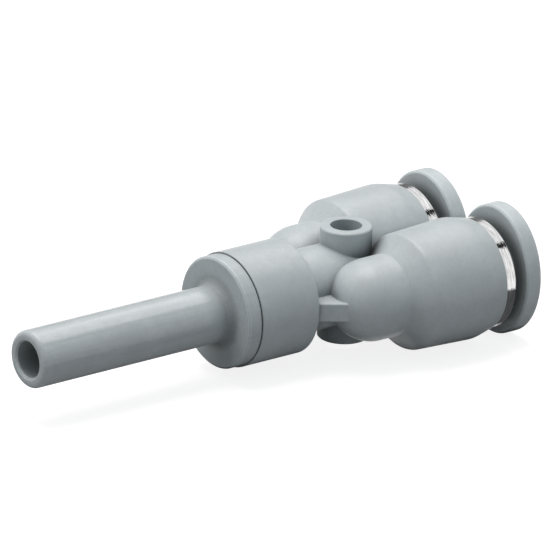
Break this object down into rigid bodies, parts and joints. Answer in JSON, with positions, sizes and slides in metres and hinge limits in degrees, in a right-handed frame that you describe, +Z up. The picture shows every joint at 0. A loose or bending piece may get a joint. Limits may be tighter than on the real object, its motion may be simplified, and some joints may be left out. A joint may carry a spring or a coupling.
{
  "type": "push-in plug-in y connector for 6 mm tube",
  "caption": "Y-shaped push-in tube fitting: a plug stem of tube size splits to two tube ports with oval release rings, with a mounting hole between them.",
  "frame": {"origin": "centre of the mounting hole, on the mid-plane of the body", "axes": "+Z up along the mounting hole; +X along the ports, towards the two port mouths; the plug stem points along -X; +Y to the left port"},
  "size_m": [0.0569, 0.0246, 0.0138],
  "materials": {
    "grey_moulding": "matte moulded grey plastic",
    "release_plastic": "matte moulded grey plastic",
    "collet_plastic": "natural moulded plastic",
    "plated_metal": "bright plated metal, fine turned lines",
    "spring_steel": "cold-rolled stainless spring sheet",
    "seal_rubber": "moulded black rubber"
  },
  "bodies": {
    "body": {"body": "grey_moulding", "left_seal": "seal_rubber", "left_collet": "collet_plastic", "left_grab_ring": "spring_steel", "left_guide": "plated_metal", "right_seal": "seal_rubber", "right_collet": "collet_plastic", "right_grab_ring": "spring_steel", "right_guide": "plated_metal"},
    "stem": {"stem": "grey_moulding", "stem_seal": "seal_rubber"},
    "left_release": {"left_release_ring": "release_plastic"},
    "right_release": {"right_release_ring": "release_plastic"}
  },
  "joints": [
    {"name": "stem_swivel", "type": "hinge", "parent": "body", "child": "stem", "pos_m": [-0.012, 0, 0], "axis": [1, 0, 0], "continuous": true},
    {"name": "left_release_push", "type": "slide", "parent": "body", "child": "left_release", "axis": [-1, 0, 0], "range_m": [0, 0.0012], "stiffness_N_per_m": 400},
    {"name": "right_release_push", "type": "slide", "parent": "body", "child": "right_release", "axis": [-1, 0, 0], "range_m": [0, 0.0012], "stiffness_N_per_m": 400}
  ]
}
